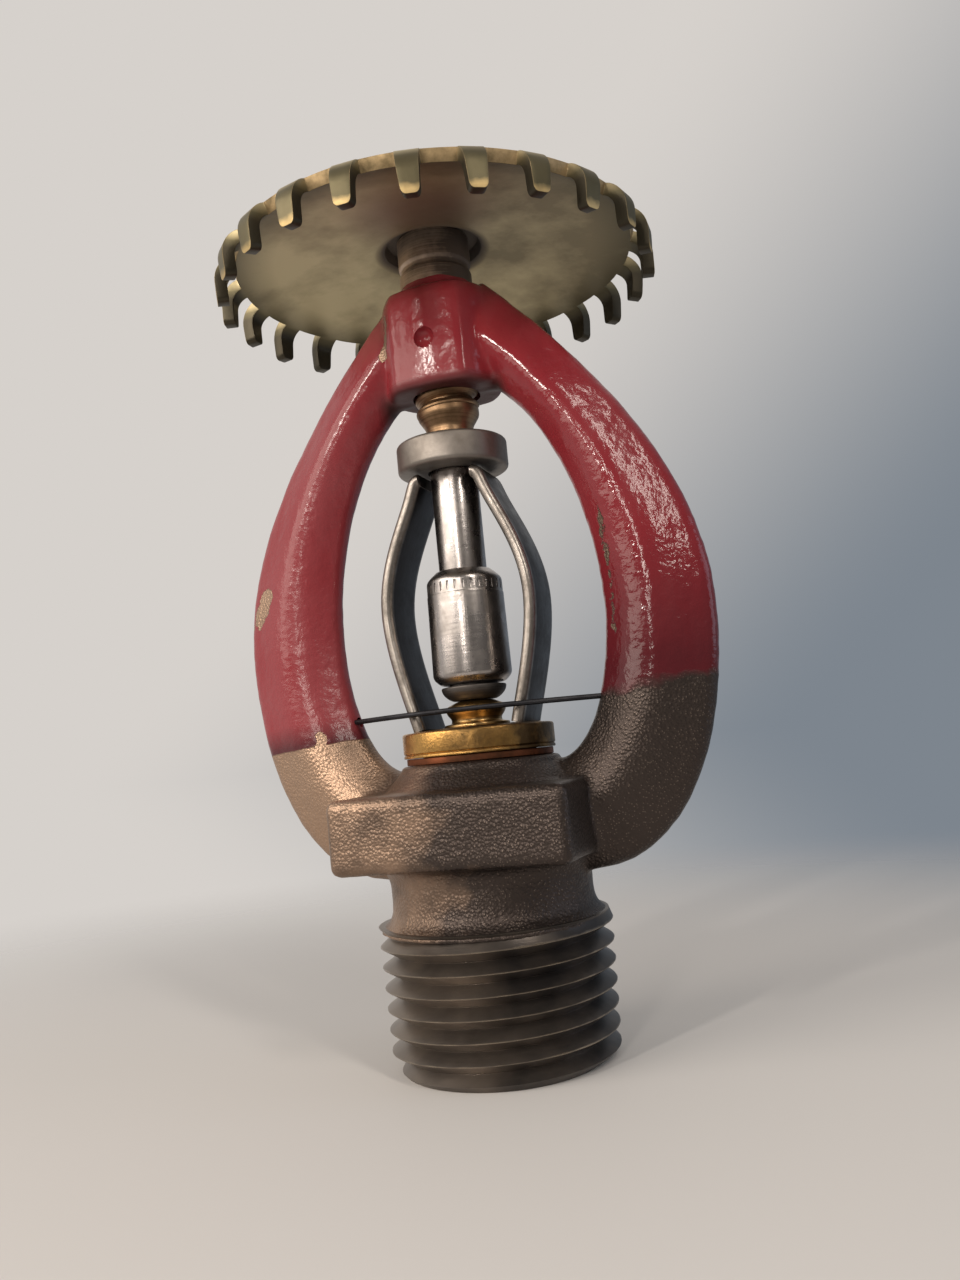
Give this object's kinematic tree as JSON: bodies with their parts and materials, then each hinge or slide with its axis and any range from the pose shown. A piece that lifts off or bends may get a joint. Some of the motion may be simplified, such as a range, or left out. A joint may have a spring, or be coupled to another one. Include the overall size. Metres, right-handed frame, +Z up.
{
  "type": "fire sprinkler head",
  "caption": "Upright fusible fire sprinkler head: cast two-arm frame with a male pipe thread, toothed deflector, solder-cylinder strut, side levers and sealing cap.",
  "frame": {"origin": "centre of the inlet end of the pipe thread, on the waterway axis", "axes": "+Z up the waterway axis to the deflector, the frame arms in the XZ plane, the wrench flats facing -Y and +Y"},
  "size_m": [0.046, 0.042, 0.0796],
  "materials": {
    "painted_bronze": "glossy red paint over a sand-cast bronze frame, bare and browned below the arms",
    "deflector_brass": "dull passivated brass sheet, olive-brown",
    "turned_brass": "turned brass, satin",
    "cap_brass": "grit-blasted brass, golden",
    "dull_aluminium": "matte grey",
    "polished_steel": "polished",
    "lever_steel": "rolled spring strip, satin",
    "dark_steel": "oxidised, dull",
    "soft_copper": "annealed copper ring, tarnished",
    "fusible_solder": "cast solder, dull"
  },
  "bodies": {
    "frame_body": {"frame": "painted_bronze", "deflector": "deflector_brass", "load_screw": "turned_brass", "ejector_wire": "dark_steel"},
    "cap_stack": {"cap": "cap_brass", "gasket": "soft_copper", "pivot_button": "turned_brass", "cylinder_plug": "dark_steel", "solder_cylinder": "polished_steel", "solder_pellet": "fusible_solder", "left_lever": "lever_steel", "right_lever": "lever_steel"},
    "plunger_body": {"plunger": "polished_steel", "strut_cup": "dull_aluminium"}
  },
  "joints": [
    {"name": "cap_lift", "type": "slide", "parent": "frame_body", "child": "cap_stack", "axis": [0, 0, 1], "range_m": [0, 0.0011]},
    {"name": "plunger_sink", "type": "slide", "parent": "cap_stack", "child": "plunger_body", "axis": [0, 0, -1], "range_m": [0, 0.0011], "deforming": ["solder_pellet", "left_lever", "right_lever"]}
  ],
  "couplings": [
    {"joint": "plunger_sink", "follows": "cap_lift", "ratio": 1}
  ]
}
